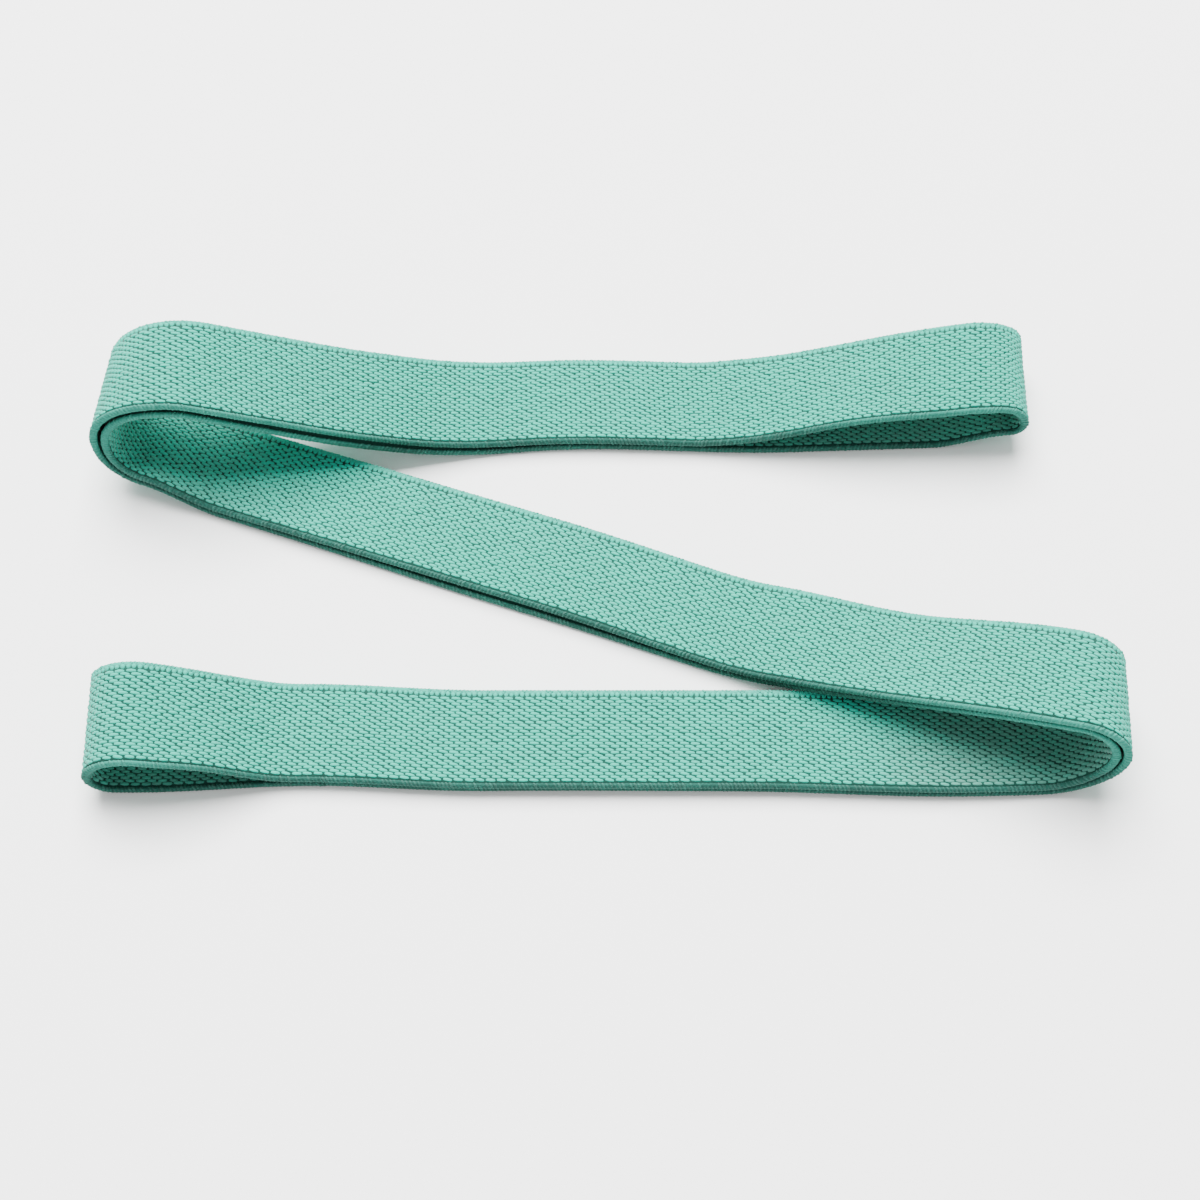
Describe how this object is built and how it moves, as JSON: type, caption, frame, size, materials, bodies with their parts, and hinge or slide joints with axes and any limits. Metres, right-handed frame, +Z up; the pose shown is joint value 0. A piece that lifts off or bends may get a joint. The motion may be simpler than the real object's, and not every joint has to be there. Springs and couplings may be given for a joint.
{
  "type": "resistance band",
  "caption": "Long loop band of woven elastic webbing, pressed to two layers and laid in a Z with two loose folds and an open loop at each end.",
  "frame": {"origin": "under the middle of the whole laid-out band, on the surface it lies on", "axes": "+X along the lower run towards the right fold, +Y from the lower run towards the upper run, +Z up"},
  "size_m": [0.3198, 0.154, 0.0416],
  "materials": {
    "cover": "woven polyester and cotton, matte, mint green",
    "core": "natural latex threads",
    "edge": "tightly bound rolled edge, matte, mint green",
    "lap": "woven webbing end, matte, mint green",
    "stitch": "polyester sewing thread, dark green"
  },
  "bodies": {
    "lower_run": {"lower_run_a_outside_cover": "cover", "lower_run_a_core": "core", "lower_run_a_inside_cover": "cover", "lower_run_a_near_edge": "edge", "lower_run_a_far_edge": "edge", "lower_run_b_outside_cover": "cover", "lower_run_b_core": "core", "lower_run_b_inside_cover": "cover", "lower_run_b_near_edge": "edge", "lower_run_b_far_edge": "edge"},
    "middle_run": {"middle_run_a_outside_cover": "cover", "middle_run_a_core": "core", "middle_run_a_inside_cover": "cover", "middle_run_a_near_edge": "edge", "middle_run_a_far_edge": "edge", "middle_run_b_outside_cover": "cover", "middle_run_b_core": "core", "middle_run_b_inside_cover": "cover", "middle_run_b_near_edge": "edge", "middle_run_b_far_edge": "edge"},
    "upper_run": {"upper_run_a_outside_cover": "cover", "upper_run_a_core": "core", "upper_run_a_inside_cover": "cover", "upper_run_a_near_edge": "edge", "upper_run_a_far_edge": "edge", "upper_run_b_outside_cover": "cover", "upper_run_b_core": "core", "upper_run_b_inside_cover": "cover", "upper_run_b_near_edge": "edge", "upper_run_b_far_edge": "edge", "join_lap": "lap", "join_upper_stitches": "stitch", "join_lower_stitches": "stitch"},
    "lower_loop": {"lower_loop_outside_cover": "cover", "lower_loop_core": "core", "lower_loop_inside_cover": "cover", "lower_loop_near_edge": "edge", "lower_loop_far_edge": "edge"},
    "upper_loop": {"upper_loop_outside_cover": "cover", "upper_loop_core": "core", "upper_loop_inside_cover": "cover", "upper_loop_near_edge": "edge", "upper_loop_far_edge": "edge"}
  },
  "joints": [
    {"name": "right_fold", "type": "hinge", "parent": "lower_run", "child": "middle_run", "pos_m": [0.15744, -0.05993, 0.01977], "axis": [0.1607, 0.987, 0], "range_deg": [0, 150]},
    {"name": "left_fold", "type": "hinge", "parent": "middle_run", "child": "upper_run", "pos_m": [-0.1577, 0.04778, 0.01666], "axis": [-0.1435, -0.9897, 0], "range_deg": [0, 150]},
    {"name": "lower_stretch", "type": "slide", "parent": "lower_run", "child": "lower_loop", "axis": [-1, 0, 0], "range_m": [0, 0.12], "stiffness_N_per_m": 350},
    {"name": "upper_stretch", "type": "slide", "parent": "upper_run", "child": "upper_loop", "axis": [0.9994, 0.0349, 0], "range_m": [0, 0.12], "stiffness_N_per_m": 350}
  ]
}
